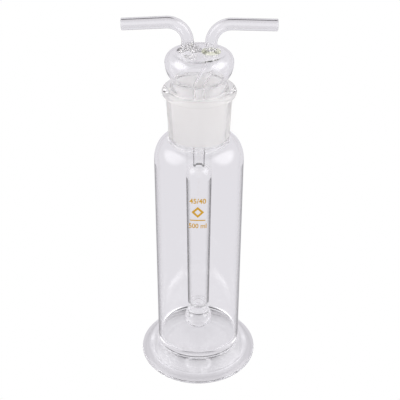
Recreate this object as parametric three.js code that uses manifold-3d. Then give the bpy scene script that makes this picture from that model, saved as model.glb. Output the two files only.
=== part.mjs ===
// Gas washing bottle with a 45/40 ground joint and a glass foot.
//
// The bottle is a cylindrical vessel sealed to a disc foot, with a ground socket as its neck.
// The head lifts out of the socket: a ground cone, a squat bulb, two hose arms, and the dip
// tube, which runs down inside to a wide chamber and a perforated bulb near the vessel's floor.
// Units are millimetres. +Z is up, the arms lie along X, and the foot rests on z = 0.

import * as THREE from 'three';
import { mergeVertices } from 'three/addons/utils/BufferGeometryUtils.js';
import Module from 'manifold-3d';

const wasm = await Module();
wasm.setup();

// Foot: a disc with a rounded rim, a sloping top, and a domed recess underneath
const FOOT_RADIUS = 50.8;
const FOOT_SEAL_Z = 13.6;
const RIM_Z = 2.2;
const RIM_UNDER = 1.8;
const RIM_SHOULDER = 5.5;
const RIM_TOP_Z = 6.2;
const SLOPE_LOW = [43.6, 8.2];
const SLOPE_HIGH = [37, 16.6];
const SLOPE_END_Z = 19.5;
const RECESS_RADIUS = 42;
const RECESS_SLANT = 1;
const RECESS_DEPTH = 3;
const DOME_HEIGHT = 7.2;

// Vessel: a cylinder with a flat inner floor and a rounded shoulder
const VESSEL_RADIUS = 35.8;
const VESSEL_WALL = 2.3;
const FLOOR_Z = 22;
const FLOOR_CORNER = 1.5;
const SHOULDER_Z = 195.5;
const SHOULDER_TOP_Z = 214;
const NECK_RADIUS = 24;
const NECK_Z = 216;

// Ground joint 45/40: 45 mm across the large end, 40 mm long, taper 1 in 10 on the diameter
const JOINT_LARGE_RADIUS = 22.5;
const JOINT_LENGTH = 40;
const JOINT_TAPER = 1 / 20;
const JOINT_TOP_Z = 257;
const JOINT_GAP = 0.1;
const SOCKET_WALL = 3.4;
const LIP_Z = 253.9;
const LIP_RADIUS = 28.7;
const LIP_HALF_HEIGHT = 3.1;
const CONE_WALL = 2.2;
const CONE_TIP_Z = 213.5;

// Head: the pinch above the cone, and the squat bulb with its flat crown
const PINCH_RADIUS = 20.2;
const PINCH_Z = 263.1;
const HEAD_WALL = 1.8;
const BULB_RADIUS = 26.1;
const BULB_Z = 277.6;
const CROWN_RADIUS = 19;
const CROWN_Z = 285.2;

// Hose arms and the tubing that they are bent from
const TUBE_RADIUS = 4.5;
const TUBE_BORE = 3.1;
const RISER_X = 8.7;
const BEND_RADIUS = 15;
const ARM_END_X = 57.5;
const OUTLET_ARM = { side: -1, z: 307.9, droop: THREE.MathUtils.degToRad(2.9) };
const INLET_ARM = { side: 1, z: 306.7, droop: THREE.MathUtils.degToRad(1.1) };
const TRUMPET_RADIUS = 7;
const TRUMPET_HEIGHT = 9;
const SEAL_RADIUS = 7.3;
const SEAL_HEIGHT = 1.8;
const SEAL_GAP = 0.3;

// Dip tube, wide chamber and perforated bulb
const DIP_JOIN_Z = CROWN_Z - 3;
const SWAN_TOP_Z = 278;
const SWAN_BOTTOM_Z = 255;
const SWAN_BEND = 12;
const CHAMBER_TOP_Z = 189.5;
const CHAMBER_SHOULDER_Z = 179.5;
const CHAMBER_RADIUS_TOP = 10.4;
const CHAMBER_RADIUS_LOW = 9.3;
const CHAMBER_WALL = 1.3;
const CHAMBER_LOW_Z = 52;
const CHAMBER_END_Z = 46.5;
const CHAMBER_END_RADIUS = 7.9;
const THROAT_RADIUS = 4.8;
const BUBBLER_RADIUS = 11.7;
const BUBBLER_Z = 37;
const BUBBLER_HALF_HEIGHT = 9.4;
const BUBBLER_WALL = 1.3;
const BUBBLER_SQUARENESS = 2.5;
const HOLE_COUNT = 8;
const HOLE_RADIUS = 0.9;
const HOLE_Z = 31.5;
const HOLE_TILT = THREE.MathUtils.degToRad(35);

// Facets round the large and the small turned pieces, and round the tubing
const WIDE_SIDES = 36;
const SLIM_SIDES = 24;
const TUBE_SIDES = 12;

const clearGlass = new THREE.MeshStandardMaterial({ color: 0xe4e2e8, roughness: 0.03, metalness: 0 });
const groundGlass = new THREE.MeshStandardMaterial({ color: 0xe0dfdd, roughness: 0.6, metalness: 0 });
const sealGlass = new THREE.MeshStandardMaterial({ color: 0xe3e4cf, roughness: 0.05, metalness: 0 });

// ---- Outlines: lists of [radius, z] points ----

// Points on an ellipse from angle a0 to a1, in degrees from the outward radius
function arc(r, z, halfWidth, halfHeight, a0, a1, steps) {
  const points = [];
  for (let i = 0; i <= steps; i += 1) {
    const a = THREE.MathUtils.degToRad(a0 + ((a1 - a0) * i) / steps);
    points.push([r + halfWidth * Math.cos(a), z + halfHeight * Math.sin(a)]);
  }
  return points;
}

// Points on the squared ellipse of the perforated bulb, which is centred on the axis
function squaredArc(halfWidth, halfHeight, a0, a1, steps) {
  const bend = (v) => Math.sign(v) * Math.abs(v) ** (2 / BUBBLER_SQUARENESS);
  return arc(0, 0, 1, 1, a0, a1, steps).map(([c, s]) => [
    halfWidth * bend(c),
    BUBBLER_Z + halfHeight * bend(s),
  ]);
}

// Points on a cubic curve through the ends p0 and p3, leaving towards p1 and arriving from p2
function curve(p0, p1, p2, p3, steps) {
  const corners = [p0, p1, p2, p3].map(([r, z]) => new THREE.Vector2(r, z));
  return new THREE.CubicBezierCurve(...corners).getPoints(steps).map((p) => [p.x, p.y]);
}

// Radius of the joint's ground surface at a height
function jointRadius(z) {
  return JOINT_LARGE_RADIUS - (JOINT_TOP_Z - z) * JOINT_TAPER;
}

// ---- Geometry from outlines and paths ----

// A turned piece about Z. The outline runs up its outside and back down its inside, and either
// begins and ends on the axis or is closed back to its first point.
function turned(outline, sides) {
  const onAxis = outline[0][0] === 0 && outline[outline.length - 1][0] === 0;
  const loop = onAxis ? outline : [...outline, outline[0]];
  const points = loop.map(([r, z]) => new THREE.Vector2(r, z));
  const geometry = new THREE.LatheGeometry(points, sides);
  geometry.rotateX(Math.PI / 2);
  return geometry;
}

// Glass tubing along a path in the XZ plane
function tubing(path, steps) {
  const ring = new THREE.Shape();
  ring.absarc(0, 0, TUBE_RADIUS, 0, 2 * Math.PI, false);
  const bore = new THREE.Path();
  bore.absarc(0, 0, TUBE_BORE, 0, 2 * Math.PI, true);
  ring.holes.push(bore);
  return new THREE.ExtrudeGeometry(ring, {
    extrudePath: path,
    steps,
    curveSegments: TUBE_SIDES / 2,
    bevelEnabled: false,
  });
}

// A path of points joined by short straight lines, so that its ends keep their directions
function pathThrough(points) {
  const path = new THREE.CurvePath();
  for (let i = 1; i < points.length; i += 1) {
    path.add(new THREE.LineCurve3(points[i - 1], points[i]));
  }
  return path;
}

function solid(geometry) {
  const plain = geometry.clone();
  plain.deleteAttribute('normal');
  plain.deleteAttribute('uv');
  const merged = mergeVertices(plain, 1e-4);
  return new wasm.Manifold(new wasm.Mesh({
    numProp: 3,
    vertProperties: merged.attributes.position.array,
    triVerts: Uint32Array.from(merged.index.array),
  }));
}

function geometryOf(manifold) {
  const mesh = manifold.getMesh();
  const geometry = new THREE.BufferGeometry();
  geometry.setAttribute('position', new THREE.BufferAttribute(mesh.vertProperties, 3));
  geometry.setIndex(new THREE.BufferAttribute(mesh.triVerts, 1));
  geometry.computeVertexNormals();
  return geometry;
}

function piece(name, geometry, material) {
  const mesh = new THREE.Mesh(geometry, material);
  mesh.name = name;
  return mesh;
}

// ---- Bottle ----

// The sloping top of the foot: its part below the seal to the vessel, and the part above it
function footSlope() {
  const [lowR, lowZ] = SLOPE_LOW;
  const [highR, highZ] = SLOPE_HIGH;
  const rim = [FOOT_RADIUS - RIM_SHOULDER, RIM_TOP_Z];
  const run = (lowR - highR) / (highZ - lowZ);
  const seal = [lowR - (FOOT_SEAL_Z - lowZ) * run, FOOT_SEAL_Z];
  const below = [
    ...curve(rim, [rim[0] - 0.9, rim[1] + 0.1], [lowR + 0.6, lowZ - 0.75], SLOPE_LOW, 3),
    seal,
  ];
  const above = [
    seal,
    ...curve(SLOPE_HIGH, [highR - 0.6, highZ + 0.75], [VESSEL_RADIUS, SLOPE_END_Z - 1.2],
      [VESSEL_RADIUS, SLOPE_END_Z], 3),
  ];
  return { below, above };
}

function foot() {
  const domeRadius = RECESS_RADIUS - RECESS_SLANT;
  const dome = [];
  for (let i = 0; i <= 5; i += 1) {
    const drop = (DOME_HEIGHT - RECESS_DEPTH) * (i / 5) ** 2;
    dome.push([(domeRadius * i) / 5, DOME_HEIGHT - drop]);
  }
  return turned([
    ...dome,
    [RECESS_RADIUS, 0],
    ...arc(FOOT_RADIUS - RIM_UNDER, RIM_Z, RIM_UNDER, RIM_Z, -90, -22.5, 3),
    ...arc(FOOT_RADIUS - RIM_SHOULDER, RIM_Z, RIM_SHOULDER, RIM_TOP_Z - RIM_Z, 0, 72, 4),
    ...footSlope().below,
    [0, FOOT_SEAL_Z],
  ], WIDE_SIDES);
}

function vessel() {
  const inner = VESSEL_RADIUS - VESSEL_WALL;
  const bore = jointRadius(NECK_Z);
  const rise = SHOULDER_TOP_Z - SHOULDER_Z;
  return turned([
    [0, FOOT_SEAL_Z],
    ...footSlope().above,
    ...arc(NECK_RADIUS, SHOULDER_Z, VESSEL_RADIUS - NECK_RADIUS, rise, 0, 84, 8),
    [NECK_RADIUS, NECK_Z],
    [bore, NECK_Z],
    ...arc(bore, SHOULDER_Z, inner - bore, rise - VESSEL_WALL, 90, 0, 8),
    ...arc(inner - FLOOR_CORNER, FLOOR_Z + FLOOR_CORNER, FLOOR_CORNER, FLOOR_CORNER, 0, -90, 3),
    [0, FLOOR_Z],
  ], WIDE_SIDES);
}

function groundSocket() {
  const bore = jointRadius(LIP_Z);
  const lip = (LIP_RADIUS - bore) / 2;
  const underLipZ = LIP_Z - LIP_HALF_HEIGHT - 1;
  return turned([
    [NECK_RADIUS, NECK_Z],
    [jointRadius(underLipZ) + SOCKET_WALL, underLipZ],
    ...arc(bore + lip, LIP_Z, lip, LIP_HALF_HEIGHT, -70, 180, 10),
    [jointRadius(NECK_Z), NECK_Z],
  ], WIDE_SIDES);
}

// ---- Head ----

function groundCone() {
  const outside = (z) => jointRadius(z) - JOINT_GAP;
  const endZ = JOINT_TOP_Z - JOINT_LENGTH;
  const low = [outside(endZ), endZ];
  const high = [outside(JOINT_TOP_Z), JOINT_TOP_Z];
  const pinch = [PINCH_RADIUS, PINCH_Z];
  const innerPinch = [PINCH_RADIUS - HEAD_WALL, PINCH_Z];
  const innerHigh = [high[0] - CONE_WALL, JOINT_TOP_Z];
  return turned([
    ...arc(low[0] - CONE_WALL / 2, CONE_TIP_Z + 1.1, 1.1, 1.1, 180, 360, 4),
    low,
    ...curve(high, [JOINT_LARGE_RADIUS + 0.3, JOINT_TOP_Z + 2.4], [PINCH_RADIUS, PINCH_Z - 3.4], pinch, 6),
    ...curve(innerPinch, [innerPinch[0], PINCH_Z - 3], [innerHigh[0] + 0.2, JOINT_TOP_Z + 2], innerHigh, 6),
    [low[0] - CONE_WALL, endZ],
  ], WIDE_SIDES);
}

// A vertical rod beside the axis, to bore a hole with
function rod(radius, x, z0, z1, sides) {
  const geometry = new THREE.CylinderGeometry(radius, radius, z1 - z0, sides);
  geometry.rotateX(Math.PI / 2);
  geometry.translate(x, 0, (z0 + z1) / 2);
  return solid(geometry);
}

// One side of the bulb's wall, from the pinch to the edge of the crown, set in by a distance
function bulbSide(inset) {
  const widest = BULB_RADIUS - inset;
  const pinch = PINCH_RADIUS - inset;
  const waist = [pinch + 1, PINCH_Z + 1.2 + inset / 2];
  return [
    [pinch, PINCH_Z],
    ...curve(waist, [waist[0] + 2.6, waist[1] + 2.8], [widest, BULB_Z - 5.5], [widest, BULB_Z], 7),
    ...arc(CROWN_RADIUS, BULB_Z, widest - CROWN_RADIUS, CROWN_Z - inset - BULB_Z, 15, 90, 5),
  ];
}

function headBulb() {
  const shell = solid(turned([
    ...bulbSide(0),
    [0, CROWN_Z],
    [0, CROWN_Z - HEAD_WALL],
    ...bulbSide(HEAD_WALL).reverse(),
  ], WIDE_SIDES));
  const low = CROWN_Z - 2 * HEAD_WALL;
  const high = CROWN_Z + 1;
  const outlet = rod(TUBE_BORE, -RISER_X, low, high, TUBE_SIDES * 2);
  const inlet = rod(TUBE_RADIUS + SEAL_GAP, RISER_X, low, high, TUBE_SIDES * 2);
  return geometryOf(shell.subtract(outlet).subtract(inlet));
}

// The centre line of an arm, from its riser at height z0 out to its open end
function armPath(arm, z0) {
  const points = [new THREE.Vector3(arm.side * RISER_X, 0, z0)];
  const centreX = arm.side * (RISER_X + BEND_RADIUS);
  const centreZ = arm.z - BEND_RADIUS;
  const turn = Math.PI / 2 + arm.droop;
  const steps = 10;
  for (let i = 0; i <= steps; i += 1) {
    const a = (turn * i) / steps;
    points.push(new THREE.Vector3(
      centreX - arm.side * BEND_RADIUS * Math.cos(a), 0, centreZ + BEND_RADIUS * Math.sin(a),
    ));
  }
  const bendEnd = points[points.length - 1];
  const run = ARM_END_X - Math.abs(bendEnd.x) - TUBE_RADIUS * Math.sin(arm.droop);
  points.push(new THREE.Vector3(
    bendEnd.x + arm.side * run, 0, bendEnd.z - run * Math.tan(arm.droop),
  ));
  return pathThrough(points);
}

// The outlet arm opens into the bulb through a trumpet-shaped foot
function outletArm() {
  const trumpet = turned([
    [TUBE_RADIUS - 0.4, CROWN_Z],
    ...curve([TRUMPET_RADIUS, CROWN_Z], [TUBE_RADIUS + 1, CROWN_Z + 0.4],
      [TUBE_RADIUS + 0.2, CROWN_Z + 2.6], [TUBE_RADIUS + 0.02, CROWN_Z + TRUMPET_HEIGHT], 6),
    [TUBE_RADIUS - 0.4, CROWN_Z + TRUMPET_HEIGHT],
  ], SLIM_SIDES);
  trumpet.translate(-RISER_X, 0, 0);
  const tube = tubing(armPath(OUTLET_ARM, CROWN_Z), 26);
  return geometryOf(solid(tube).add(solid(trumpet)));
}

// The inlet arm runs down through the top of the bulb, to where the dip tube is sealed on
function inletArm() {
  return tubing(armPath(INLET_ARM, DIP_JOIN_Z), 28);
}

// The bead of sealing glass where the inlet arm passes through the bulb
function ringSeal() {
  const ring = turned([
    ...curve([SEAL_RADIUS, CROWN_Z], [SEAL_RADIUS - 0.6, CROWN_Z + SEAL_HEIGHT * 0.4],
      [TUBE_RADIUS + 1, CROWN_Z + SEAL_HEIGHT * 0.7], [TUBE_RADIUS + SEAL_GAP, CROWN_Z + SEAL_HEIGHT], 5),
    [TUBE_RADIUS + SEAL_GAP, CROWN_Z],
  ], SLIM_SIDES);
  ring.translate(RISER_X, 0, 0);
  return ring;
}

// The dip tube crosses from under the inlet arm to the axis by two equal and opposite bends
// with a straight run between them. Each bend turns it by the angle that makes the run meet both.
function dipTube() {
  const drop = SWAN_TOP_Z - SWAN_BOTTOM_Z;
  const spare = 4 * SWAN_BEND - RISER_X;
  const turn = 2 * Math.atan((drop - Math.sqrt(drop ** 2 - RISER_X * spare)) / spare);
  const steps = 4;
  const upper = [];
  const lower = [];
  for (let i = 0; i <= steps; i += 1) {
    const across = SWAN_BEND * (1 - Math.cos((turn * i) / steps));
    const down = SWAN_BEND * Math.sin((turn * i) / steps);
    upper.push(new THREE.Vector3(RISER_X - across, 0, SWAN_TOP_Z - down));
    lower.unshift(new THREE.Vector3(across, 0, SWAN_BOTTOM_Z + down));
  }
  const start = new THREE.Vector3(RISER_X, 0, DIP_JOIN_Z);
  const end = new THREE.Vector3(0, 0, CHAMBER_TOP_Z);
  return tubing(pathThrough([start, ...upper, ...lower, end]), 40);
}

function chamber() {
  const rise = CHAMBER_TOP_Z - CHAMBER_SHOULDER_Z;
  const innerTop = CHAMBER_RADIUS_TOP - CHAMBER_WALL;
  const innerLow = CHAMBER_RADIUS_LOW - CHAMBER_WALL;
  return turned([
    [CHAMBER_END_RADIUS, CHAMBER_END_Z],
    [CHAMBER_END_RADIUS + 0.7, CHAMBER_LOW_Z - 2],
    [CHAMBER_RADIUS_LOW, CHAMBER_LOW_Z + 2],
    ...arc(TUBE_RADIUS, CHAMBER_SHOULDER_Z, CHAMBER_RADIUS_TOP - TUBE_RADIUS, rise, 0, 90, 6),
    ...arc(TUBE_BORE, CHAMBER_SHOULDER_Z, innerTop - TUBE_BORE, rise - 1, 90, 0, 6),
    [innerLow, CHAMBER_LOW_Z + 3],
    [innerLow - 0.8, CHAMBER_LOW_Z + 0.5],
    [THROAT_RADIUS, CHAMBER_LOW_Z - 2],
    [THROAT_RADIUS, CHAMBER_END_Z],
  ], SLIM_SIDES);
}

// A drill for one hole of the bubbler, pointing outwards and down
function drill(index) {
  const geometry = new THREE.CylinderGeometry(HOLE_RADIUS, HOLE_RADIUS, BUBBLER_RADIUS, 8);
  geometry.rotateX(Math.PI / 2);
  geometry.rotateY(Math.PI / 2 + HOLE_TILT);
  geometry.translate(BUBBLER_RADIUS * 0.9, 0, HOLE_Z);
  geometry.rotateZ((2 * Math.PI * (index + 0.5)) / HOLE_COUNT);
  return solid(geometry);
}

function bubbler() {
  const inner = BUBBLER_RADIUS - BUBBLER_WALL;
  const innerHalf = BUBBLER_HALF_HEIGHT - BUBBLER_WALL;
  let shell = solid(turned([
    [0, BUBBLER_Z - BUBBLER_HALF_HEIGHT],
    ...squaredArc(BUBBLER_RADIUS, BUBBLER_HALF_HEIGHT, -80, 40, 10),
    [CHAMBER_END_RADIUS + 0.5, CHAMBER_END_Z - 1.4],
    [CHAMBER_END_RADIUS, CHAMBER_END_Z],
    [THROAT_RADIUS, CHAMBER_END_Z],
    [THROAT_RADIUS + 0.6, CHAMBER_END_Z - 1.8],
    ...squaredArc(inner, innerHalf, 46, -80, 10),
    [0, BUBBLER_Z - innerHalf],
  ], SLIM_SIDES));
  for (let i = 0; i < HOLE_COUNT; i += 1) {
    shell = shell.subtract(drill(i));
  }
  return geometryOf(shell);
}

const washingBottle = new THREE.Group();
washingBottle.add(
  piece('foot', foot(), clearGlass),
  piece('vessel', vessel(), clearGlass),
  piece('ground_socket', groundSocket(), groundGlass),
  piece('ground_cone', groundCone(), groundGlass),
  piece('head_bulb', headBulb(), clearGlass),
  piece('outlet_arm', outletArm(), clearGlass),
  piece('inlet_arm', inletArm(), clearGlass),
  piece('ring_seal', ringSeal(), sealGlass),
  piece('dip_tube', dipTube(), clearGlass),
  piece('chamber', chamber(), clearGlass),
  piece('bubbler', bubbler(), clearGlass),
);

export default washingBottle;
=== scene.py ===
"""Looks for the gas washing bottle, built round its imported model.

Every glass section is rebuilt as a smooth closed shell. Where two sections are flame sealed to
each other their touching faces let light straight through, so that the glass looks like one piece.
Lengths below are in millimetres unless a comment says otherwise; MM turns them into metres.
"""
import math

import bmesh
import bpy
from mathutils import Matrix, Vector


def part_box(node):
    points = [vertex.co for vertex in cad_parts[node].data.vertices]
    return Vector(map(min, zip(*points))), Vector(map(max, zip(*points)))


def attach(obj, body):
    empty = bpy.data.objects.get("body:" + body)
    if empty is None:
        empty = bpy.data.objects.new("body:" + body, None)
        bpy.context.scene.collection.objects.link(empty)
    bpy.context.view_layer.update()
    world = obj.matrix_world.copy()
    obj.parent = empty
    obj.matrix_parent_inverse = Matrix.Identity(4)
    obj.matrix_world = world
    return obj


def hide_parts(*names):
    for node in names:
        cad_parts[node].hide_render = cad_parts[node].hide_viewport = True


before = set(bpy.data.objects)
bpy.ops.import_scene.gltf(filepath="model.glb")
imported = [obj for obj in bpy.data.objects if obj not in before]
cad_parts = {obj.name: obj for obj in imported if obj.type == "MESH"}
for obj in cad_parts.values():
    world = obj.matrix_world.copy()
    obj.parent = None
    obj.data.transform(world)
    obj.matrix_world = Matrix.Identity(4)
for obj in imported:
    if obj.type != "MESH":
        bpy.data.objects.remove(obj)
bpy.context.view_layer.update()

MM = 0.001


def low_mm(node):
    """The lowest corner of a CAD node, in millimetres to the nearest hundredth."""
    return [round(value / MM, 2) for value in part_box(node)[0]]


def high_mm(node):
    """The highest corner of a CAD node, in millimetres to the nearest hundredth."""
    return [round(value / MM, 2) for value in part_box(node)[1]]


# ---- Sizes: from the frame where a node's box gives them ----

# Foot: a disc with a rounded rim, a sloping top, and a domed recess underneath
FOOT_RADIUS, _, FOOT_SEAL_Z = high_mm("foot")
RIM_Z = 2.2
RIM_UNDER = 1.8
RIM_SHOULDER = 5.5
RIM_TOP_Z = 6.2
SLOPE_LOW = (43.6, 8.2)
SLOPE_HIGH = (37.0, 16.6)
SLOPE_END_Z = 19.5
RECESS_RADIUS = 42
RECESS_SLANT = 1
RECESS_DEPTH = 3
DOME_HEIGHT = 7.2
DOME_STEPS = 39

# Vessel: a cylinder with a flat inner floor, and a shoulder that turns softly into the neck
_, _, NECK_Z = high_mm("vessel")
VESSEL_RADIUS = 35.8
VESSEL_WALL = 2.3
FLOOR_Z = 22
FLOOR_CORNER = 1.5
SHOULDER_Z = 195.5
SHOULDER_TOP_Z = 214
SHOULDER_END_DEGREES = 84
NECK_RADIUS = 24
NECK_EASE = 3
NECK_EASE_DEPTH = 3.5

# Ground joint 45/40: 45 mm across the large end, 40 mm long, taper 1 in 10 on the diameter
_, _, CONE_TIP_Z = low_mm("ground_cone")
JOINT_LARGE_RADIUS = 22.5
JOINT_LENGTH = 40
JOINT_TAPER = 1 / 20
JOINT_TOP_Z = 257
JOINT_GAP = 0.1
SOCKET_WALL = 3.4
LIP_Z = 253.9
LIP_RADIUS = 28.7
LIP_HALF_HEIGHT = 3.1
LIP_START_DEGREES = -70
LIP_UNDERCUT = 1
GROUND_TOP_DROP = 0.5
CONE_WALL = 2.2

# Bulb: squat, with a flat crown
_, _, PINCH_Z = low_mm("head_bulb")
BULB_RADIUS, _, CROWN_Z = high_mm("head_bulb")
PINCH_RADIUS = 20.2
HEAD_WALL = 1.8
BULB_Z = 277.6
CROWN_RADIUS = 19
CROWN_MARGIN = 0.4
WAIST_REACH = 1.0
WAIST_RISE = 1.2

# Hose arms and their tubing. The inlet's riser goes through the ring seal on the crown.
ARM_END_X, TUBE_RADIUS, _ = high_mm("inlet_arm")
_, TRUMPET_RADIUS, _ = high_mm("outlet_arm")
SEAL_END_X, SEAL_RADIUS, SEAL_TOP_Z = high_mm("ring_seal")
RISER_X = SEAL_END_X - SEAL_RADIUS
TUBE_BORE = 3.1
BEND_RADIUS = 15
BEND_STEPS = 40
OUTLET_ARM = {"side": -1, "z": 307.9, "droop": math.radians(2.9)}
INLET_ARM = {"side": 1, "z": 306.7, "droop": math.radians(1.1)}
TRUMPET_HEIGHT = 9

# Dip tube: two opposite bends take it from under the inlet arm to the axis
_, _, DIP_JOIN_Z = high_mm("dip_tube")
SWAN_TOP_Z = 278
SWAN_BOTTOM_Z = 255
SWAN_BEND = 12
SWAN_STEPS = 20

# Chamber
CHAMBER_RADIUS_TOP, _, CHAMBER_TOP_Z = high_mm("chamber")
_, _, CHAMBER_END_Z = low_mm("chamber")
CHAMBER_SHOULDER_Z = 179.5
CHAMBER_RADIUS_LOW = 9.3
CHAMBER_WALL = 1.3
CHAMBER_TOP_WALL = 1.0
CHAMBER_LOW_Z = 52
CHAMBER_END_RADIUS = 7.9
THROAT_RADIUS = 4.8

# Bubbler, and the ring of holes through it
BUBBLER_RADIUS = 11.7
BUBBLER_Z = 37
BUBBLER_HALF_HEIGHT = 9.4
BUBBLER_WALL = 1.3
BUBBLER_SQUARENESS = 2.5
BELLY_END_DEGREES = 40
HOLLOW_START_DEGREES = 46
HOLE_COUNT = 8
HOLE_RADIUS = 0.9
HOLE_Z = 31.5
HOLE_TILT = math.radians(35)
DRILL_REACH = BUBBLER_RADIUS * 0.9

# Enamel marks on the front, all centred a little left of the axis. A mark stands on its height z.
ENAMEL_X = -0.7
ENAMEL_LIFT = 0.06
JOINT_SIZE_MARK = {"words": "45/40", "height": 4.3, "width": 13.0, "z": 174.8}
CAPACITY_MARK = {"words": "500 ml", "height": 4.2, "width": 14.0, "z": 152.2}
FIGURE_WEIGHT = 0.02
DIAMOND_Z = 166.8
DIAMOND_OUTER = 5.0
DIAMOND_INNER = 2.6
BAR_REACH = 6
BAR_Z = 158.9
BAR_HEIGHT = 1.0

# Sides round the large and the slim turned pieces, and round a drilled hole
WIDE_SIDES = 320
SLIM_SIDES = 96
HOLE_SIDES = 24

# Points that are closer than this are one point
SAME_POINT = 1e-6


# ---- Looks: a colour is (red, green, blue) ----

WHITE = (1.0, 1.0, 1.0)
# Painted shade, nearly black, that the glass takes at its outlines where it is seen edge on
PAINTED_EDGE_SHADE = (0.01, 0.009, 0.01)
GLASS_IOR = 1.473
MILKY_TRANSMISSION = 0.6
MILKY_WHITE = (0.985, 0.98, 0.972)
AMBER_DEEP = (0.50, 0.25, 0.004)
AMBER_PALE = (0.72, 0.42, 0.010)

# The faint ripple of lampworking, the grain of a ground surface, and the mottle of enamel.
# A scale is in cycles for each metre.
RIPPLE_SCALE = 60.0
RIPPLE_DEPTH = 0.008
GRAIN_SCALE = 900.0
GRAIN_ROUGHNESS = (0.42, 0.58)
MOTTLE_SCALE = 700.0
ENAMEL_ROUGHNESS = 0.45

# Camera, which looks along +Y and down. Its aim is a height on the axis, moved along X.
CAMERA_LENS = 74.7
CAMERA_SENSOR = 36
CAMERA_CLIP = (10, 20000)
CAMERA_ELEVATION = math.radians(31.13)
CAMERA_DISTANCE = 683.3
CAMERA_AIM_Z = 156.5
CAMERA_AIM_X = 1.0
CAMERA_ROLL = math.radians(0.28)

# Floor, with a painted contact shadow: a darker ring where the foot stands on it. The ring is fullest
# between the middle two of its radii.
FLOOR_TONE = (0.76, 0.745, 0.785)
FLOOR_EXTENT = 3000
FLOOR_SIDES = 64
FLOOR_DROP = 0.3
CONTACT_SHADOW_TONE = (0.64, 0.625, 0.66)
CONTACT_SHADOW_RADII = (36, 44, 50, 58)

# Room: how high its walls reach, and the dark opening in the far one, all in degrees
WALL_TONE = (0.72, 0.70, 0.74)
WALL_TOP = (50, 62)
CEILING_TONE = (0.04, 0.04, 0.045)
OPENING_SIDES = (9, 17)
OPENING_SILL = (22, 28)

# Each light: its direction, the degrees round it that it fills, the degrees at which it ends, and
# its colour and strength
LIGHTS = (
    ((-0.84, -0.1, 0.52), 14, 38, (1.9, 1.9, 1.93)),
    ((0.84, -0.1, 0.52), 14, 38, (2.2, 2.2, 2.23)),
    ((0.0, -0.9, 0.43), 15, 45, (0.45, 0.45, 0.44)),
)

# How often light may be bent or bounced in all, how often it may be mirrored, and the brightest that
# a bounced ray may count
BOUNCES = 32
MIRROR_BOUNCES = 16
BOUNCE_CLAMP = 10.0

# Faces of a shell take one of these finishes. A wall is the straight outside of a long tube.
CLEAR, SEAM, GROUND, WALL = range(4)


# ---- Outlines: lists of (radius, height) ----

def line(a, b, step=2.0):
    """Points from a to b, evenly spaced, without b."""
    count = max(1, round(math.dist(a, b) / step))
    return [(a[0] + (b[0] - a[0]) * i / count, a[1] + (b[1] - a[1]) * i / count) for i in range(count)]


def arc(r, z, half_width, half_height, a0, a1, steps):
    """Points on an ellipse, from angle a0 to a1 in degrees, both ends included."""
    points = []
    for i in range(steps + 1):
        a = math.radians(a0 + (a1 - a0) * i / steps)
        points.append((r + half_width * math.cos(a), z + half_height * math.sin(a)))
    return points


def bezier(p0, p1, p2, p3, steps):
    """Points on a cubic curve from p0 to p3, both ends included.

    It leaves towards its handle p1 and arrives from its handle p2. The small offsets of handles
    below round off the joins between stretches.
    """
    points = []
    for i in range(steps + 1):
        t = i / steps
        weights = ((1 - t) ** 3, 3 * t * (1 - t) ** 2, 3 * t * t * (1 - t), t ** 3)
        points.append(tuple(sum(w * p[k] for w, p in zip(weights, (p0, p1, p2, p3))) for k in (0, 1)))
    return points


def squared_arc(half_width, half_height, a0, a1, steps):
    """Points on the squared ellipse of the bubbler, from angle a0 to a1 in degrees."""
    power = 2 / BUBBLER_SQUARENESS
    points = []
    for c, s in arc(0, 0, 1, 1, a0, a1, steps):
        r = half_width * abs(c) ** power
        points.append((r, BUBBLER_Z + half_height * math.copysign(abs(s) ** power, s)))
    return points


def joint_radius(z):
    """Radius of the joint's ground surface at a height."""
    return JOINT_LARGE_RADIUS - (JOINT_TOP_Z - z) * JOINT_TAPER


def closed_outline(*stretches):
    """Joins stretches of (finish, points) into one closed outline of (radius, height, finish).

    A point's finish is that of the strip from it to the next point.
    """
    outline = []
    for finish, points in stretches:
        for r, z in points:
            if outline and math.dist(outline[-1][:2], (r, z)) < SAME_POINT:
                outline[-1] = (r, z, finish)
            else:
                outline.append((r, z, finish))
    if math.dist(outline[0][:2], outline[-1][:2]) < SAME_POINT:
        outline.pop()
    return outline


# ---- Paths that a section is swept along ----

def upright(x=0.0):
    """A straight path up Z at the given x.

    A path gives the centre of the ring at a distance along it, and the ring's two directions.
    """
    def place(s):
        return Vector((x, 0, s)), Vector((1, 0, 0)), Vector((0, 1, 0))
    return place


def along(points):
    """A path through points in the XZ plane. Its parameter is the distance from the first point."""
    points = [Vector(p) for p in points]
    lengths = [0.0]
    for a, b in zip(points, points[1:]):
        lengths.append(lengths[-1] + (b - a).length)

    def place(s):
        k = 0
        while k < len(points) - 2 and s > lengths[k + 1]:
            k += 1
        tangent = (points[k + 1] - points[k]).normalized()
        centre = points[k] + tangent * (s - lengths[k])
        before = points[max(k - 1, 0)]
        after = points[min(k + 2, len(points) - 1)]
        t = min(max((s - lengths[k]) / (lengths[k + 1] - lengths[k]), 0), 1)
        lead = (points[k + 1] - before).normalized()
        trail = (after - points[k]).normalized()
        direction = lead.lerp(trail, t).normalized()
        side = Vector((0, 1, 0))
        return centre, side.cross(direction), side
    place.length = lengths[-1]
    return place


# ---- Making pieces ----

def object_from(name, bm):
    """Turns a bmesh into an object in the scene."""
    mesh = bpy.data.meshes.new(name)
    bm.to_mesh(mesh)
    bm.free()
    made = bpy.data.objects.new(name, mesh)
    bpy.context.scene.collection.objects.link(made)
    return made


def finished(name, bm):
    """A closed bmesh as an object, with its faces out and sharp edges round its seams."""
    bmesh.ops.recalc_face_normals(bm, faces=bm.faces)
    if bm.calc_volume(signed=True) < 0:
        bmesh.ops.reverse_faces(bm, faces=bm.faces)
    for edge in bm.edges:
        finishes = {face.material_index for face in edge.link_faces}
        edge.smooth = not (SEAM in finishes and len(finishes) > 1)
    return object_from(name, bm)


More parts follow.
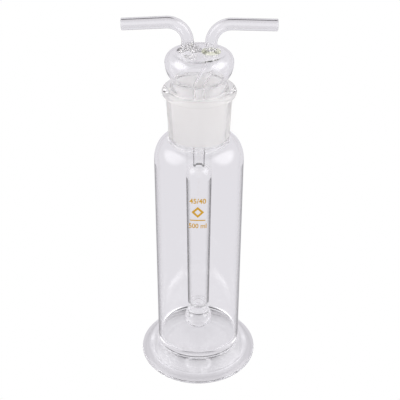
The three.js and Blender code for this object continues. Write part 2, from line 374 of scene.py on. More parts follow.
def shell(name, outline, place, sides):
    """A closed shell: the outline swept round the path, one ring of vertices for each point."""
    bm = bmesh.new()
    rings = []
    for r, s, _ in outline:
        centre, u, v = place(s)
        if r < SAME_POINT:
            rings.append([bm.verts.new(centre * MM)])
            continue
        ring = []
        for i in range(sides):
            a = 2 * math.pi * i / sides
            ring.append(bm.verts.new((centre + (u * math.cos(a) + v * math.sin(a)) * r) * MM))
        rings.append(ring)
    closed = len(rings[0]) > 1
    strips = len(rings) if closed else len(rings) - 1
    for k in range(strips):
        low, high = rings[k], rings[(k + 1) % len(rings)]
        for i in range(sides):
            j = (i + 1) % sides
            corners = []
            for vert in (low[i % len(low)], low[j % len(low)], high[j % len(high)], high[i % len(high)]):
                if vert not in corners:
                    corners.append(vert)
            if len(corners) > 2:
                face = bm.faces.new(corners)
                face.material_index = outline[k][2]
                face.smooth = True
    return finished(name, bm)


def stands_for(piece, node, body, materials):
    """Puts a finished piece in place of its CAD node."""
    for material in materials:
        piece.data.materials.append(material)
    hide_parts(node)
    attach(piece, body)


# ---- Shader nodes ----

def feed(tree, node, inputs):
    """Sets a node's inputs, each to a plain value or from the output socket that feeds it."""
    for key, value in inputs.items():
        if isinstance(value, bpy.types.NodeSocket):
            tree.links.new(value, node.inputs[key])
        else:
            node.inputs[key].default_value = value


def add_node(tree, kind, inputs, **settings):
    """Adds a node of a kind. Its settings come first, because they choose what inputs it has."""
    node = tree.nodes.new(kind)
    for key, value in settings.items():
        setattr(node, key, value)
    feed(tree, node, inputs)
    return node


def smooth_range(tree, value, start, end):
    """0 up to the start, 1 from the end, and a smooth step between the two."""
    inputs = {"Value": value, "From Min": start, "From Max": end}
    step = add_node(tree, "ShaderNodeMapRange", inputs, interpolation_type="SMOOTHSTEP")
    return step.outputs["Result"]


def blended(tree, factor, a, b):
    """Colour a where the factor is 0 and colour b where it is 1. Either may be a socket."""
    a, b = ((*colour, 1) if isinstance(colour, tuple) else colour for colour in (a, b))
    inputs = {"Factor": factor, "A": a, "B": b}
    return add_node(tree, "ShaderNodeMix", inputs, data_type="RGBA").outputs["Result"]


def product(tree, a, b):
    """Two numbers multiplied."""
    return add_node(tree, "ShaderNodeMath", {0: a, 1: b}, operation="MULTIPLY").outputs["Value"]


def vector_maths(tree, operation, *vectors):
    """The result of a vector operation, which is a number for a dot product or a length."""
    node = add_node(tree, "ShaderNodeVectorMath", dict(enumerate(vectors)), operation=operation)
    return node.outputs["Value" if operation in ("DOT_PRODUCT", "LENGTH") else "Vector"]


def noise(tree, scale, detail=2.0):
    """A noise pattern that keeps its place on the piece."""
    place = add_node(tree, "ShaderNodeTexCoord", {}).outputs["Object"]
    inputs = {"Vector": place, "Scale": scale, "Detail": detail}
    return add_node(tree, "ShaderNodeTexNoise", inputs).outputs["Fac"]


def white_to_camera(tree, colour):
    """White where the camera sees it directly, and the colour where the glass bends it into view."""
    camera_ray = add_node(tree, "ShaderNodeLightPath", {}).outputs["Is Camera Ray"]
    return blended(tree, camera_ray, colour, WHITE)


# ---- Materials ----

def new_material(name):
    """A new material, its node tree and its Principled shader."""
    material = bpy.data.materials.new(name)
    material.use_nodes = True
    tree = material.node_tree
    return material, tree, tree.nodes["Principled BSDF"]


def glass(name, colour, edge_shade_and_tint, edge_shade_facing=(0.6, 0.9), transmission=1.0):
    """Clear glass with a faint ripple. Seen edge on, it takes its edge colour: painted shade that
    darkens its outlines, and tints them where that colour is tinted.
    """
    material, tree, shader = new_material(name)
    facing = add_node(tree, "ShaderNodeLayerWeight", {"Blend": 0.5}).outputs["Facing"]
    ripple = {"Strength": 1.0, "Distance": RIPPLE_DEPTH * MM, "Height": noise(tree, RIPPLE_SCALE)}
    feed(tree, shader, {
        "Base Color": blended(tree, smooth_range(tree, facing, *edge_shade_facing), colour, edge_shade_and_tint),
        "Roughness": 0.0,
        "IOR": GLASS_IOR,
        "Transmission Weight": transmission,
        "Normal": add_node(tree, "ShaderNodeBump", ripple).outputs["Normal"],
    })
    return material


def ground(name):
    """Finely ground glass: rough all through, with the milky bloom of a dry joint."""
    material, tree, shader = new_material(name)
    low, high = GRAIN_ROUGHNESS
    inputs = {"Value": noise(tree, GRAIN_SCALE, detail=3.0), "To Min": low, "To Max": high}
    feed(tree, shader, {
        "Base Color": (*MILKY_WHITE, 1),
        "Roughness": add_node(tree, "ShaderNodeMapRange", inputs).outputs["Result"],
        "IOR": GLASS_IOR,
        "Transmission Weight": MILKY_TRANSMISSION,
    })
    return material


def flame_seal(name):
    """The inside of a flame seal, where glass meets glass and nothing is seen."""
    material, tree, shader = new_material(name)
    tree.nodes.remove(shader)
    clear = add_node(tree, "ShaderNodeBsdfTransparent", {})
    feed(tree, tree.nodes["Material Output"], {"Surface": clear.outputs["BSDF"]})
    return material


def enamel(name):
    """Amber enamel, fired onto the glass, with a faint mottle."""
    material, tree, shader = new_material(name)
    feed(tree, shader, {
        "Base Color": blended(tree, noise(tree, MOTTLE_SCALE), AMBER_DEEP, AMBER_PALE),
        "Roughness": ENAMEL_ROUGHNESS,
    })
    return material


# The edge colours are painted shade at the outlines; those of the lip and the ring seal are also tinted
wall_glass = glass("wall_glass", WHITE, PAINTED_EDGE_SHADE, (0.62, 0.86))
tube_glass = glass("tube_glass", WHITE, PAINTED_EDGE_SHADE, (0.3, 0.7))
arm_glass = glass("arm_glass", WHITE, (0.08, 0.075, 0.08))
clear_glass = glass("clear_glass", WHITE, (0.8, 0.79, 0.8))
lip_glass = glass("lip_glass", (0.985, 0.985, 0.965), (0.8, 0.8, 0.7))
seal_glass = glass("seal_glass", (0.86, 0.88, 0.7), (0.74, 0.76, 0.54), transmission=MILKY_TRANSMISSION)
ground_glass = ground("ground_glass")
seam = flame_seal("seam")
amber_enamel = enamel("amber_enamel")

# The materials of a piece, in the order of the finishes
CLEAR_SET = (clear_glass, seam, ground_glass)
VESSEL_SET = (clear_glass, seam, ground_glass, wall_glass)
TUBE_SET = (clear_glass, seam, ground_glass, tube_glass)
ARM_SET = (arm_glass, seam)
SOCKET_SET = (lip_glass, seam, ground_glass)
SEAL_SET = (seal_glass, seam, ground_glass)


# ---- Bottle ----

def foot_slope():
    """The foot's sloping top, rounded at its ends: its part below the seal, and the part above."""
    low_r, low_z = SLOPE_LOW
    high_r, high_z = SLOPE_HIGH
    rim = (FOOT_RADIUS - RIM_SHOULDER, RIM_TOP_Z)
    low = bezier(rim, (rim[0] - 0.9, rim[1] + 0.1), (low_r + 0.6, low_z - 0.75), SLOPE_LOW, 10)
    high = bezier(SLOPE_HIGH, (high_r - 0.6, high_z + 0.75), (VESSEL_RADIUS, SLOPE_END_Z - 1.2),
                  (VESSEL_RADIUS, SLOPE_END_Z), 10)
    run = (low_r - high_r) / (high_z - low_z)
    seal = (low_r - (FOOT_SEAL_Z - low_z) * run, FOOT_SEAL_Z)
    below = low[:-1] + line(SLOPE_LOW, seal, 1.0) + [seal]
    above = line(seal, SLOPE_HIGH, 1.0) + high
    return below, above


def make_foot():
    """The pressed disc that the bottle stands on."""
    dome = []
    dome_radius = RECESS_RADIUS - RECESS_SLANT
    for i in range(DOME_STEPS + 1):
        drop = (DOME_HEIGHT - RECESS_DEPTH) * (i / DOME_STEPS) ** 2
        dome.append((dome_radius * i / DOME_STEPS, DOME_HEIGHT - drop))
    slope, _ = foot_slope()
    outline = closed_outline(
        (CLEAR, dome),
        (CLEAR, [(RECESS_RADIUS, 0)]),
        (CLEAR, arc(FOOT_RADIUS - RIM_UNDER, RIM_Z, RIM_UNDER, RIM_Z, -90, 0, 12)),
        (CLEAR, arc(FOOT_RADIUS - RIM_SHOULDER, RIM_Z, RIM_SHOULDER, RIM_TOP_Z - RIM_Z, 0, 90, 24)),
        (CLEAR, slope),
        (SEAM, [slope[-1], (0, FOOT_SEAL_Z)]),
    )
    piece = shell("foot_glass", outline, upright(), WIDE_SIDES)
    stands_for(piece, "foot", "bottle", CLEAR_SET)


def make_vessel():
    """The cylinder, with its flat floor and its rounded shoulder."""
    inner = VESSEL_RADIUS - VESSEL_WALL
    bore = joint_radius(NECK_Z)
    rise = SHOULDER_TOP_Z - SHOULDER_Z
    _, slope = foot_slope()
    shoulder = arc(NECK_RADIUS, SHOULDER_Z, VESSEL_RADIUS - NECK_RADIUS, rise,
                   0, SHOULDER_END_DEGREES, 40)
    fillet = bezier(shoulder[-1], (NECK_RADIUS + 0.5, SHOULDER_TOP_Z),
                    (NECK_RADIUS, SHOULDER_TOP_Z + 0.2), (NECK_RADIUS, NECK_Z), 20)
    eased = bore + NECK_EASE
    inner_shoulder = arc(eased, SHOULDER_Z, inner - bore - NECK_EASE, rise - VESSEL_WALL, 90, 0, 40)
    inner_neck = bezier((bore, NECK_Z), (bore, NECK_Z - NECK_EASE_DEPTH),
                        (bore + 0.5, inner_shoulder[0][1]), inner_shoulder[0], 20)
    corner = arc(inner - FLOOR_CORNER, FLOOR_Z + FLOOR_CORNER, FLOOR_CORNER, FLOOR_CORNER, 0, -90, 16)
    outline = closed_outline(
        (SEAM, [(0, FOOT_SEAL_Z), slope[0]]),
        (CLEAR, slope),
        (WALL, line(slope[-1], shoulder[0])),
        (CLEAR, shoulder),
        (CLEAR, fillet),
        (SEAM, [(NECK_RADIUS, NECK_Z), (bore, NECK_Z)]),
        (CLEAR, inner_neck),
        (CLEAR, inner_shoulder),
        (CLEAR, line(inner_shoulder[-1], corner[0])),
        (CLEAR, corner),
        (CLEAR, line(corner[-1], (0, FLOOR_Z), 4)),
        (CLEAR, [(0, FLOOR_Z)]),
    )
    piece = shell("vessel_glass", outline, upright(), WIDE_SIDES)
    stands_for(piece, "vessel", "bottle", VESSEL_SET)


def make_socket():
    """The female half of the joint, ground inside, with a rounded lip."""
    bore = joint_radius(LIP_Z)
    lip = (LIP_RADIUS - bore) / 2
    under_lip_z = LIP_Z - LIP_HALF_HEIGHT - LIP_UNDERCUT
    lip_round = arc(bore + lip, LIP_Z, lip, LIP_HALF_HEIGHT, LIP_START_DEGREES, 180, 40)
    lip_r, lip_z = lip_round[0]
    under = (joint_radius(under_lip_z) + SOCKET_WALL, under_lip_z)
    under_lip = bezier(under, (under[0] + 0.05, under[1] + 0.6), (lip_r - 0.9, lip_z - 0.4),
                       lip_round[0], 8)
    low = (joint_radius(NECK_Z), NECK_Z)
    outline = closed_outline(
        (CLEAR, line((NECK_RADIUS, NECK_Z), under)),
        (CLEAR, under_lip),
        (CLEAR, lip_round),
        (GROUND, line((bore, LIP_Z - GROUND_TOP_DROP), low)),
        (SEAM, [low, (NECK_RADIUS, NECK_Z)]),
    )
    piece = shell("socket_glass", outline, upright(), WIDE_SIDES)
    stands_for(piece, "ground_socket", "bottle", SOCKET_SET)


def wrap(name, bm):
    """Lays flat enamel artwork, with X across and Y up, round the front of the vessel."""
    reach = (VESSEL_RADIUS + ENAMEL_LIFT) * MM
    for vert in bm.verts:
        turn = vert.co.x / VESSEL_RADIUS
        vert.co = Vector((math.sin(turn) * reach, -math.cos(turn) * reach, vert.co.y * MM))
    bmesh.ops.recalc_face_normals(bm, faces=bm.faces)
    piece = object_from(name, bm)
    piece.data.materials.append(amber_enamel)
    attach(piece, "bottle")


def figures(name, words, height, width, z):
    """Plain printed figures, centred on the front and standing on height z."""
    curve = bpy.data.curves.new(name, "FONT")
    curve.body = words
    curve.align_x = "CENTER"
    curve.offset = FIGURE_WEIGHT
    writing = bpy.data.objects.new(name + "_outline", curve)
    bpy.context.scene.collection.objects.link(writing)
    flat = writing.to_mesh(depsgraph=bpy.context.evaluated_depsgraph_get())
    bm = bmesh.new()
    bm.from_mesh(flat)
    writing.to_mesh_clear()
    bpy.data.objects.remove(writing)
    wide = max(v.co.x for v in bm.verts) - min(v.co.x for v in bm.verts)
    tall = max(v.co.y for v in bm.verts)
    for vert in bm.verts:
        vert.co = Vector((ENAMEL_X + vert.co.x * width / wide, z + vert.co.y * height / tall, 0))
    wrap(name, bm)


def patch(name, corners, holes=()):
    """A flat shape with straight sides, filled, with its long sides cut short so that it wraps."""
    bm = bmesh.new()
    edges = []
    for loop in (corners, *holes):
        verts = []
        for a, b in zip(loop, loop[1:] + loop[:1]):
            verts += [bm.verts.new((x, y, 0)) for x, y in line(a, b, 1.0)]
        edges += [bm.edges.new((verts[i - 1], verts[i])) for i in range(len(verts))]
    bmesh.ops.triangle_fill(bm, edges=edges, use_beauty=True, use_dissolve=False)
    wrap(name, bm)


def diamond(reach):
    """The four corners of a square that stands on one of them."""
    corners = ((1, 0), (0, 1), (-1, 0), (0, -1))
    return [(ENAMEL_X + reach * x, DIAMOND_Z + reach * z) for x, z in corners]


def make_marks():
    """Joint size and capacity, with a plain diamond and bar between them."""
    figures("joint_size", **JOINT_SIZE_MARK)
    figures("capacity", **CAPACITY_MARK)
    patch("diamond", diamond(DIAMOND_OUTER), [diamond(DIAMOND_INNER)])
    left, right = ENAMEL_X - BAR_REACH, ENAMEL_X + BAR_REACH
    bar_top = BAR_Z + BAR_HEIGHT
    patch("bar", [(left, BAR_Z), (right, BAR_Z), (right, bar_top), (left, bar_top)])


# ---- Head ----

def make_cone():
    """The male half of the joint, ground outside, with the bulge and the pinch above it."""
    ground_end_z = JOINT_TOP_Z - JOINT_LENGTH
    low = (joint_radius(ground_end_z) - JOINT_GAP, ground_end_z)
    high = (joint_radius(JOINT_TOP_Z) - JOINT_GAP, JOINT_TOP_Z)
    tip_round = CONE_WALL / 2
    tip = arc(low[0] - tip_round, CONE_TIP_Z + tip_round, tip_round, tip_round, 180, 360, 16)
    bulge = bezier(high, (JOINT_LARGE_RADIUS + 0.3, JOINT_TOP_Z + 2.4), (PINCH_RADIUS, PINCH_Z - 3.4),
                   (PINCH_RADIUS, PINCH_Z), 24)
    inner_pinch = (PINCH_RADIUS - HEAD_WALL, PINCH_Z)
    inner_top = (high[0] - CONE_WALL, JOINT_TOP_Z)
    inner_bulge = bezier(inner_pinch, (inner_pinch[0], PINCH_Z - 3),
                         (inner_top[0] + 0.2, JOINT_TOP_Z + 2), inner_top, 24)
    inner_low = (low[0] - CONE_WALL, ground_end_z)
    outline = closed_outline(
        (CLEAR, tip),
        (CLEAR, line(tip[-1], low, 0.6)),
        (GROUND, line(low, high)),
        (CLEAR, bulge),
        (SEAM, [bulge[-1], inner_pinch]),
        (CLEAR, inner_bulge),
        (CLEAR, line(inner_top, inner_low)),
        (CLEAR, line(inner_low, tip[0], 0.6)),
    )
    piece = shell("cone_glass", outline, upright(), WIDE_SIDES)
    stands_for(piece, "ground_cone", "head", CLEAR_SET)


def bulb_side(inset):
    """One side of the bulb's wall, from the pinch to the edge of the flat crown, set in."""
    widest = BULB_RADIUS - inset
    pinch = PINCH_RADIUS - inset
    waist_r = pinch + WAIST_REACH
    waist_z = PINCH_Z + WAIST_RISE + inset / 2
    hollow = bezier((pinch, PINCH_Z), (pinch, PINCH_Z + 0.7 + inset * 0.2),
                    (waist_r - 0.5, waist_z - 0.4), (waist_r, waist_z), 8)
    lower = bezier(hollow[-1], (waist_r + 2.6, waist_z + 2.8), (widest, BULB_Z - 5.5),
                   (widest, BULB_Z), 40)
    upper = arc(CROWN_RADIUS, BULB_Z, widest - CROWN_RADIUS, CROWN_Z - inset - BULB_Z, 0, 90, 40)
    return hollow[:-1] + lower[:-1] + upper


def circle(bm, x, z, radius, sides):
    """A level ring of vertices."""
    ring = []
    for i in range(sides):
        a = 2 * math.pi * i / sides
        ring.append(bm.verts.new(Vector((x + radius * math.cos(a), radius * math.sin(a), z)) * MM))
    return ring


def strip(bm, a, b, finish):
    """Joins two rings that have the same number of vertices."""
    for i in range(len(a)):
        j = (i + 1) % len(a)
        face = bm.faces.new((a[i], a[j], b[j], b[i]))
        face.material_index = finish
        face.smooth = True


def fill(bm, rings):
    """Fills the flat region between an outer ring and the rings inside it."""
    edges = []
    for ring in rings:
        for i in range(len(ring)):
            pair = (ring[i], ring[(i + 1) % len(ring)])
            edges.append(bm.edges.get(pair) or bm.edges.new(pair))
    made = bmesh.ops.triangle_fill(bm, edges=edges, use_beauty=True, use_dissolve=False)
    for item in made["geom"]:
        if isinstance(item, bmesh.types.BMFace):
            item.material_index = CLEAR
            item.smooth = True


def make_bulb():
    """The squat bulb, with the bores for the two arms through its crown."""
    bm = bmesh.new()
    insets = (0, HEAD_WALL)
    walls = [[circle(bm, 0, z, r, WIDE_SIDES) for r, z in bulb_side(inset)] for inset in insets]
    for rings in walls:
        for low, high in zip(rings, rings[1:]):
            strip(bm, low, high, CLEAR)
    outer, inner = walls
    strip(bm, outer[0], inner[0], SEAM)
    # each face of the crown has a flat margin just inside its edge, and the two bores through it;
    # the upper face also has the seals to the trumpet and to the ring seal
    bores = []
    for rings, inset in zip(walls, insets):
        z = CROWN_Z - inset
        edge = rings[-1]
        margin = circle(bm, 0, z, edge[0].co.x / MM - CROWN_MARGIN, WIDE_SIDES)
        strip(bm, edge, margin, CLEAR)
        outlet = circle(bm, -RISER_X, z, TUBE_BORE, SLIM_SIDES)
        inlet = circle(bm, RISER_X, z, TUBE_RADIUS, SLIM_SIDES)
        bores.append((outlet, inlet))
        if inset:
            fill(bm, (margin, outlet, inlet))
        else:
            outlet_foot = circle(bm, -RISER_X, z, TRUMPET_RADIUS, SLIM_SIDES)
            inlet_foot = circle(bm, RISER_X, z, SEAL_RADIUS, SLIM_SIDES)
            strip(bm, outlet, outlet_foot, SEAM)
            strip(bm, inlet, inlet_foot, SEAM)
            fill(bm, (margin, outlet_foot, inlet_foot))
    for top, under, finish in zip(*bores, (CLEAR, SEAM)):
        strip(bm, top, under, finish)
    stands_for(finished("bulb_glass", bm), "head_bulb", "head", CLEAR_SET)


def arm_path(arm, z0):
    """The centre line of an arm, from its riser at height z0 out to its open end."""
    points = [(arm["side"] * RISER_X, 0, z0)]
    centre_x = arm["side"] * (RISER_X + BEND_RADIUS)
    centre_z = arm["z"] - BEND_RADIUS
    turn = math.pi / 2 + arm["droop"]
    for i in range(BEND_STEPS + 1):
        a = turn * i / BEND_STEPS
        points.append((centre_x - arm["side"] * BEND_RADIUS * math.cos(a), 0,
                       centre_z + BEND_RADIUS * math.sin(a)))
    end = points[-1]
    run = ARM_END_X - abs(end[0]) - TUBE_RADIUS * math.sin(arm["droop"])
    points.append((end[0] + arm["side"] * run, 0, end[2] - run * math.tan(arm["droop"])))
    return along(points)


def arm_outline(start, length):
    """An arm's outline: the given start of its outside, its fire-polished end, and its bore."""
    _, start_points = start[-1]
    lip = (TUBE_RADIUS - TUBE_BORE) / 2
    end = arc(TUBE_BORE + lip, length - lip, lip, lip, 0, 180, 12)
    return closed_outline(
        (SEAM, [(TUBE_BORE, 0)]),
        *start,
        (CLEAR, line(start_points[-1], end[0], 1.0)),
        (CLEAR, end),
        (CLEAR, line(end[-1], (TUBE_BORE, 0), 1.0)),
    )


def make_outlet_arm():
    """The left arm, which opens into the bulb through a trumpet-shaped foot."""
    path = arm_path(OUTLET_ARM, CROWN_Z)
    trumpet = bezier((TRUMPET_RADIUS, 0), (TUBE_RADIUS + 1.4, 0.8), (TUBE_RADIUS + 0.3, 3.4),
                     (TUBE_RADIUS, TRUMPET_HEIGHT), 14)
    outline = arm_outline([(CLEAR, trumpet)], path.length)
    piece = shell("outlet_arm_glass", outline, path, SLIM_SIDES)
    stands_for(piece, "outlet_arm", "head", ARM_SET)


def make_inlet_arm():
    """The right arm, which goes down through the crown and is sealed to it on the way."""
    path = arm_path(INLET_ARM, DIP_JOIN_Z)
    sealed = [(TUBE_RADIUS, z - DIP_JOIN_Z) for z in (CROWN_Z - HEAD_WALL, CROWN_Z, SEAL_TOP_Z)]
    outline = arm_outline([(CLEAR, [(TUBE_RADIUS, 0)]), (SEAM, sealed)], path.length)
    piece = shell("inlet_arm_glass", outline, path, SLIM_SIDES)
    stands_for(piece, "inlet_arm", "head", ARM_SET)


def make_ring_seal():
    """The bead of sealing glass round the inlet arm, on the crown."""
    bead = arc(TUBE_RADIUS, CROWN_Z, SEAL_RADIUS - TUBE_RADIUS, SEAL_TOP_Z - CROWN_Z, 0, 90, 24)
    outline = closed_outline(
        (SEAM, [(TUBE_RADIUS, CROWN_Z)]),
        (CLEAR, bead),
        (SEAM, [(TUBE_RADIUS, SEAL_TOP_Z)]),
    )
    piece = shell("ring_seal_glass", outline, upright(RISER_X), SLIM_SIDES)
    stands_for(piece, "ring_seal", "head", SEAL_SET)


def swan_turn():
    """How far the dip tube leans where it crosses from under the inlet arm to the axis."""
    drop = SWAN_TOP_Z - SWAN_BOTTOM_Z
    spare = 4 * SWAN_BEND - RISER_X
    return 2 * math.atan((drop - math.sqrt(drop ** 2 - RISER_X * spare)) / spare)


def make_dip_tube():
    """The tube from under the inlet arm down to the chamber."""
    turn = swan_turn()
    upper = []
    lower = []
    for i in range(SWAN_STEPS + 1):
        a = turn * i / SWAN_STEPS
        across = SWAN_BEND * (1 - math.cos(a))
        down = SWAN_BEND * math.sin(a)
        upper.append((RISER_X - across, 0, SWAN_TOP_Z - down))
        lower.insert(0, (across, 0, SWAN_BOTTOM_Z + down))
    path = along([(RISER_X, 0, DIP_JOIN_Z), *upper, *lower, (0, 0, CHAMBER_TOP_Z)])
    # the tube is clear inside the cone, and below the cone's tip a wall whose outlines are darkened with
    # painted shade
    wall_start = (TUBE_RADIUS, path.length - (CONE_TIP_Z - CHAMBER_TOP_Z))
    outline = closed_outline(
        (SEAM, [(TUBE_BORE, 0)]),
        (CLEAR, line((TUBE_RADIUS, 0), wall_start, 1.0)),
        (WALL, line(wall_start, (TUBE_RADIUS, path.length), 1.0)),
        (SEAM, [(TUBE_RADIUS, path.length)]),
        (CLEAR, line((TUBE_BORE, path.length), (TUBE_BORE, 0), 1.0)),
    )
    piece = shell("dip_tube_glass", outline, path, SLIM_SIDES)
    stands_for(piece, "dip_tube", "head", TUBE_SET)


def make_chamber():
    """The wide tube, which narrows at its foot to the throat of the bubbler."""
    top = CHAMBER_RADIUS_TOP
    low = CHAMBER_RADIUS_LOW
    inner_top = top - CHAMBER_WALL
    inner_low = low - CHAMBER_WALL
    rise = CHAMBER_TOP_Z - CHAMBER_SHOULDER_Z
    shoulder = arc(TUBE_RADIUS, CHAMBER_SHOULDER_Z, top - TUBE_RADIUS, rise, 0, 90, 30)
    inner_shoulder = arc(TUBE_BORE, CHAMBER_SHOULDER_Z, inner_top - TUBE_BORE,
                         rise - CHAMBER_TOP_WALL, 90, 0, 30)
    foot_curve = bezier((CHAMBER_END_RADIUS, CHAMBER_END_Z),
                        (CHAMBER_END_RADIUS + 0.2, CHAMBER_END_Z + 2),
                        (low, CHAMBER_LOW_Z - 2), (low, CHAMBER_LOW_Z + 2), 12)
    throat = bezier((inner_low, CHAMBER_LOW_Z + 3), (inner_low, CHAMBER_LOW_Z - 1),
                    (THROAT_RADIUS, CHAMBER_LOW_Z + 1), (THROAT_RADIUS, CHAMBER_LOW_Z - 3), 16)
    outline = closed_outline(
        (CLEAR, foot_curve),
        (WALL, line(foot_curve[-1], shoulder[0])),
        (CLEAR, shoulder),
        (SEAM, [(TUBE_RADIUS, CHAMBER_TOP_Z), (TUBE_BORE, CHAMBER_TOP_Z)]),
        (CLEAR, line((TUBE_BORE, CHAMBER_TOP_Z), inner_shoulder[0], 0.5)),
        (CLEAR, inner_shoulder),
        (CLEAR, line(inner_shoulder[-1], throat[0])),
        (CLEAR, throat),
        (SEAM, [(THROAT_RADIUS, CHAMBER_END_Z)]),
    )
    piece = shell("chamber_glass", outline, upright(), SLIM_SIDES)
    stands_for(piece, "chamber", "head", TUBE_SET)


def hole_drills():
    """The drills for the ring of holes, pointing outwards and down."""
    bm = bmesh.new()
    for i in range(HOLE_COUNT):
        turn = Matrix.Rotation(2 * math.pi * (i + 0.5) / HOLE_COUNT, 4, "Z")
        shift = Matrix.Translation(Vector((DRILL_REACH, 0, HOLE_Z)) * MM)
        tilt = Matrix.Rotation(math.pi / 2 + HOLE_TILT, 4, "Y")
        bmesh.ops.create_cone(bm, cap_ends=True, segments=HOLE_SIDES, radius1=HOLE_RADIUS * MM,
                              radius2=HOLE_RADIUS * MM, depth=BUBBLER_RADIUS * MM,
                              matrix=turn @ shift @ tilt)
    return object_from("drills", bm)


def pierce(piece, drills):
    """Cuts the drills out of the piece and removes them."""
    cut = piece.modifiers.new("holes", "BOOLEAN")
    cut.operation = "DIFFERENCE"
    cut.solver = "EXACT"
    cut.object = drills
    bored = bpy.data.meshes.new_from_object(piece.evaluated_get(bpy.context.evaluated_depsgraph_get()))
    piece.modifiers.clear()
    piece.data = bored
    bpy.data.objects.remove(drills)


def make_bubbler():
    """The perforated bulb at the bottom of the head."""
    inner_radius = BUBBLER_RADIUS - BUBBLER_WALL
    inner_half = BUBBLER_HALF_HEIGHT - BUBBLER_WALL
    belly = squared_arc(BUBBLER_RADIUS, BUBBLER_HALF_HEIGHT, -90, BELLY_END_DEGREES, 60)
    collar = bezier(belly[-1], (belly[-1][0] - 1.0, belly[-1][1] + 1.0),
                    (CHAMBER_END_RADIUS, CHAMBER_END_Z - 1.5), (CHAMBER_END_RADIUS, CHAMBER_END_Z), 8)
    hollow = squared_arc(inner_radius, inner_half, HOLLOW_START_DEGREES, -90, 60)
    throat = bezier((THROAT_RADIUS, CHAMBER_END_Z), (THROAT_RADIUS, CHAMBER_END_Z - 1.5),
                    (hollow[0][0] - 1.5, hollow[0][1] + 0.9), hollow[0], 8)
    outline = closed_outline(
        (CLEAR, belly),
        (CLEAR, collar),
        (SEAM, [(CHAMBER_END_RADIUS, CHAMBER_END_Z)]),
        (CLEAR, throat),
        (CLEAR, hollow),
    )
    piece = shell("bubbler_glass", outline, upright(), SLIM_SIDES)
    pierce(piece, hole_drills())
    stands_for(piece, "bubbler", "head", CLEAR_SET)


# ---- Studio ----

def sine(degrees):
    """The sine of an angle in degrees: how high a direction at that elevation is."""
    return math.sin(math.radians(degrees))


def cosine(degrees):
    """The cosine of an angle in degrees: the dot product of two directions that far apart."""
    return math.cos(math.radians(degrees))


def room_light(tree, direction):
    """Pale walls up to a height, a dark ceiling, and a dark opening that cuts into the far wall."""
    height = add_node(tree, "ShaderNodeSeparateXYZ", {0: direction}).outputs["Z"]
    wall_start, wall_end = WALL_TOP
    over_walls = smooth_range(tree, height, sine(wall_start), sine(wall_end))
    room = blended(tree, over_walls, WALL_TONE, CEILING_TONE)
    bearing = vector_maths(tree, "NORMALIZE", vector_maths(tree, "MULTIPLY", direction, (1, 1, 0)))
    behind = vector_maths(tree, "DOT_PRODUCT", bearing, (0, 1, 0))
    side_start, side_end = OPENING_SIDES
    across = smooth_range(tree, behind, cosine(side_end), cosine(side_start))
    sill_start, sill_end = OPENING_SILL
    above = smooth_range(tree, height, sine(sill_start), sine(sill_end))
    return blended(tree, product(tree, across, above), room, CEILING_TONE)


def lamp_light(tree, direction, lamp):
    """A soft round light: full within an angle of its aim, and none past a wider angle."""
    aim, full, end, colour = lamp
    facing = vector_maths(tree, "DOT_PRODUCT", direction, Vector(aim).normalized())
    strength = smooth_range(tree, facing, cosine(end), cosine(full))
    inputs = {0: colour, "Scale": strength}
    return add_node(tree, "ShaderNodeVectorMath", inputs, operation="SCALE").outputs["Vector"]


def make_world():
    """A pale room that is dark overhead, with a soft light on each side and a fill in front."""
    world = bpy.data.worlds.new("studio")
    bpy.context.scene.world = world
    world.use_nodes = True
    tree = world.node_tree
    tree.nodes.clear()
    direction = add_node(tree, "ShaderNodeTexCoord", {}).outputs["Generated"]
    light = room_light(tree, direction)
    for lamp in LIGHTS:
        light = vector_maths(tree, "ADD", light, lamp_light(tree, direction, lamp))
    background = add_node(tree, "ShaderNodeBackground", {"Color": white_to_camera(tree, light)})
    add_node(tree, "ShaderNodeOutputWorld", {"Surface": background.outputs["Background"]})


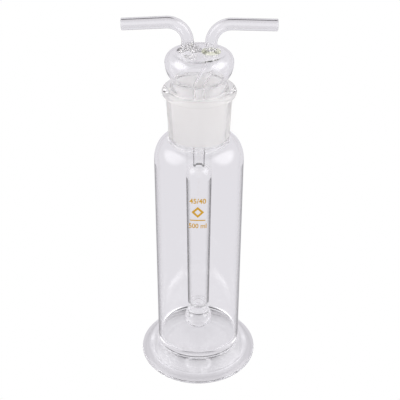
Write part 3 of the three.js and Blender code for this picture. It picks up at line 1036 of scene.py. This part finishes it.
def floor_material():
    """Through the glass, the floor is pale grey with a painted contact shadow, a darker ring under the
    foot.
    """
    material, tree, _ = new_material("floor")
    tree.nodes.clear()
    position = add_node(tree, "ShaderNodeNewGeometry", {}).outputs["Position"]
    distance = vector_maths(tree, "LENGTH", position)
    inner_start, inner_full, outer_full, outer_end = (radius * MM for radius in CONTACT_SHADOW_RADII)
    inside = smooth_range(tree, distance, inner_start, inner_full)
    outside = smooth_range(tree, distance, outer_end, outer_full)
    tone_with_shadow = blended(tree, product(tree, inside, outside), FLOOR_TONE, CONTACT_SHADOW_TONE)
    glow = add_node(tree, "ShaderNodeEmission", {"Color": white_to_camera(tree, tone_with_shadow)})
    add_node(tree, "ShaderNodeOutputMaterial", {"Surface": glow.outputs["Emission"]})
    return material


def make_floor():
    """The bench top, just under the foot."""
    bm = bmesh.new()
    bmesh.ops.create_circle(bm, cap_ends=True, radius=FLOOR_EXTENT * MM, segments=FLOOR_SIDES)
    bmesh.ops.translate(bm, verts=bm.verts, vec=(0, 0, -FLOOR_DROP * MM))
    floor = object_from("floor", bm)
    floor.data.materials.append(floor_material())


def make_camera():
    """The camera, in front of the object and above it."""
    data = bpy.data.cameras.new("camera")
    data.lens = CAMERA_LENS
    data.sensor_width = CAMERA_SENSOR
    data.clip_start, data.clip_end = (distance * MM for distance in CAMERA_CLIP)
    camera = bpy.data.objects.new("camera", data)
    bpy.context.scene.collection.objects.link(camera)
    aim = Vector((CAMERA_AIM_X * MM, 0, CAMERA_AIM_Z * MM))
    back = Vector((0, -math.cos(CAMERA_ELEVATION), math.sin(CAMERA_ELEVATION)))
    camera.location = aim + back * CAMERA_DISTANCE * MM
    turn = back.to_track_quat("Z", "Y")
    camera.rotation_mode = "QUATERNION"
    camera.rotation_quaternion = turn @ Matrix.Rotation(CAMERA_ROLL, 3, "Z").to_quaternion()
    bpy.context.scene.camera = camera


def set_light_paths():
    """Lets light through many thicknesses of glass, and shows colours as they are."""
    scene = bpy.context.scene
    scene.cycles.max_bounces = BOUNCES
    scene.cycles.transmission_bounces = BOUNCES
    scene.cycles.transparent_max_bounces = BOUNCES
    scene.cycles.glossy_bounces = MIRROR_BOUNCES
    scene.cycles.caustics_reflective = True
    scene.cycles.caustics_refractive = True
    scene.cycles.blur_glossy = 0.0
    scene.cycles.use_denoising = True
    scene.cycles.sample_clamp_indirect = BOUNCE_CLAMP
    scene.view_settings.view_transform = "Standard"
    scene.view_settings.look = "None"


make_camera()
make_floor()
make_world()
set_light_paths()
make_foot()
make_vessel()
make_socket()
make_marks()
make_cone()
make_bulb()
make_outlet_arm()
make_inlet_arm()
make_ring_seal()
make_dip_tube()
make_chamber()
make_bubbler()
